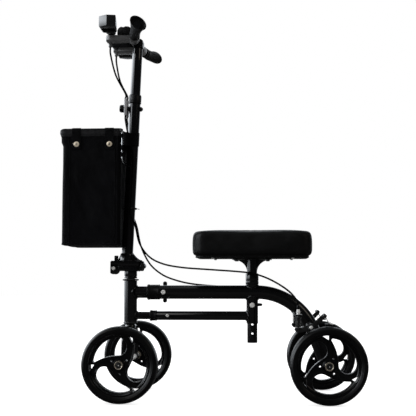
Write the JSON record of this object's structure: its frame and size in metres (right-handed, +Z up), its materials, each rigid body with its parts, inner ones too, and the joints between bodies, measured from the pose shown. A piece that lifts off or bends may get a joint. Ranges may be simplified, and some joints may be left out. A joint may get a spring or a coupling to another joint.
{
  "type": "knee walker",
  "caption": "Four-wheeled steerable knee walker with a padded knee cushion, folding column with hand brakes, and a front bag.",
  "frame": {"origin": "on the floor, under the middle of the walker's bounding box", "axes": "+X to the rear, +Y to the rider's right, +Z up; the rider faces -X"},
  "size_m": [0.8121, 0.376, 1.026],
  "materials": {
    "black_paint": "gloss",
    "black_plastic": "satin",
    "grip_rubber": "matte",
    "tyre_rubber": "matte",
    "cushion_vinyl": "satin",
    "bag_fabric": "matte",
    "zinc_plate": "satin",
    "dark_steel": "satin",
    "board_plastic": "matte"
  },
  "bodies": {
    "frame": {"main_tube": "black_paint", "lower_tube": "black_paint", "seat_sleeve": "black_paint", "head_tube": "black_paint", "upper_joint_collar": "black_plastic", "lower_joint_collar": "black_plastic", "upper_joint_bolt": "zinc_plate", "lower_joint_bolt": "zinc_plate", "seat_bolt": "zinc_plate", "rear_axle_tube": "black_paint", "rear_axle": "zinc_plate", "headset_ring": "dark_steel", "brake_bracket_left": "black_paint", "brake_bracket_right": "black_paint", "barrel_adjuster_left": "zinc_plate", "barrel_adjuster_right": "zinc_plate", "brake_shaft": "dark_steel"},
    "steerer": {"steering_stem": "black_paint", "front_fork": "black_paint", "front_axle": "zinc_plate", "fold_pin": "dark_steel"},
    "column": {"column_tube": "black_paint", "column_collar": "black_plastic", "cable_guide": "dark_steel", "cable_clip": "black_plastic", "bag_hanger": "zinc_plate", "bag": "bag_fabric", "fold_lock_bolt": "zinc_plate", "brake_cable_left": "grip_rubber", "brake_cable_right": "grip_rubber"},
    "handlebar_group": {"inner_tube": "black_paint", "bar_clamp": "black_paint", "handlebar": "black_paint", "grip_left": "grip_rubber", "grip_right": "grip_rubber", "perch_left": "black_plastic", "perch_right": "black_plastic"},
    "left_brake_lever": {"brake_lever_left": "black_plastic"},
    "right_brake_lever": {"brake_lever_right": "black_plastic"},
    "left_rocker": {"brake_rocker_left": "dark_steel", "brake_spring_left": "dark_steel"},
    "right_rocker": {"brake_rocker_right": "dark_steel", "brake_spring_right": "dark_steel"},
    "seat": {"seat_post": "black_paint", "seat_bracket": "black_paint", "seat_board": "board_plastic", "cushion": "cushion_vinyl"},
    "seat_clamp_lever": {"seat_lever": "black_plastic"},
    "joint_handle": {"upper_joint_handle": "black_plastic"},
    "fold_cam_lever": {"fold_lever": "black_plastic"},
    "clamp_knob": {"column_knob": "black_plastic"},
    "front_left_wheel": {"front_left_tyre": "tyre_rubber", "front_left_rim": "black_plastic"},
    "front_right_wheel": {"front_right_tyre": "tyre_rubber", "front_right_rim": "black_plastic"},
    "rear_left_wheel": {"rear_left_tyre": "tyre_rubber", "rear_left_rim": "black_plastic"},
    "rear_right_wheel": {"rear_right_tyre": "tyre_rubber", "rear_right_rim": "black_plastic"}
  },
  "joints": [
    {"name": "steering", "type": "hinge", "parent": "frame", "child": "steerer", "pos_m": [-0.23185, 0, 0.26], "axis": [0, 0, 1], "range_deg": [-40, 40], "deforming": ["brake_cable_left", "brake_cable_right"]},
    {"name": "column_fold", "type": "hinge", "parent": "steerer", "child": "column", "pos_m": [-0.19785, 0, 0.359], "axis": [0, 1, 0], "range_deg": [0, 58], "deforming": ["brake_cable_left", "brake_cable_right"]},
    {"name": "handlebar_slide", "type": "slide", "parent": "column", "child": "handlebar_group", "axis": [0.0427, 0, 0.9991], "range_m": [-0.11, 0], "deforming": ["brake_cable_left", "brake_cable_right"]},
    {"name": "lever_left", "type": "hinge", "parent": "handlebar_group", "child": "left_brake_lever", "pos_m": [-0.27985, -0.07, 1], "axis": [0, 0, 1], "range_deg": [0, 14], "stiffness_Nm_per_rad": 0.8},
    {"name": "lever_right", "type": "hinge", "parent": "handlebar_group", "child": "right_brake_lever", "pos_m": [-0.27985, 0.07, 1], "axis": [0, 0, 1], "range_deg": [-14, 0], "stiffness_Nm_per_rad": 0.8},
    {"name": "brake_left", "type": "hinge", "parent": "frame", "child": "left_rocker", "pos_m": [0.26315, -0.13, 0.1965], "axis": [0, 1, 0], "range_deg": [0, 2.5], "deforming": ["brake_spring_left"]},
    {"name": "brake_right", "type": "hinge", "parent": "frame", "child": "right_rocker", "pos_m": [0.26315, 0.13, 0.1965], "axis": [0, 1, 0], "range_deg": [0, 2.5], "deforming": ["brake_spring_right"]},
    {"name": "seat_height", "type": "slide", "parent": "frame", "child": "seat", "axis": [0, 0, -1], "range_m": [-0.1, 0]},
    {"name": "seat_lever_turn", "type": "hinge", "parent": "frame", "child": "seat_clamp_lever", "pos_m": [0.10815, 0.02, 0.2505], "axis": [0, 1, 0], "range_deg": [0, 160]},
    {"name": "joint_handle_turn", "type": "hinge", "parent": "frame", "child": "joint_handle", "pos_m": [-0.13785, 0.02, 0.286], "axis": [0, 1, 0], "continuous": true},
    {"name": "fold_lever_turn", "type": "hinge", "parent": "column", "child": "fold_cam_lever", "pos_m": [-0.27785, 0.0255, 0.352], "axis": [1, 0, 0], "range_deg": [-150, 0]},
    {"name": "clamp_knob_turn", "type": "hinge", "parent": "column", "child": "clamp_knob", "pos_m": [-0.22427, 0, 0.805], "axis": [-0.9991, 0, 0.0427], "continuous": true},
    {"name": "front_left_roll", "type": "hinge", "parent": "steerer", "child": "front_left_wheel", "pos_m": [-0.23385, -0.165, 0.1], "axis": [0, 1, 0], "continuous": true},
    {"name": "front_right_roll", "type": "hinge", "parent": "steerer", "child": "front_right_wheel", "pos_m": [-0.23385, 0.165, 0.1], "axis": [0, 1, 0], "continuous": true},
    {"name": "rear_left_roll", "type": "hinge", "parent": "frame", "child": "rear_left_wheel", "pos_m": [0.30615, -0.165, 0.1], "axis": [0, 1, 0], "continuous": true},
    {"name": "rear_right_roll", "type": "hinge", "parent": "frame", "child": "rear_right_wheel", "pos_m": [0.30615, 0.165, 0.1], "axis": [0, 1, 0], "continuous": true}
  ],
  "couplings": [
    {"joint": "brake_left", "follows": "lever_left", "ratio": 0.17857},
    {"joint": "brake_right", "follows": "lever_right", "ratio": -0.17857}
  ]
}
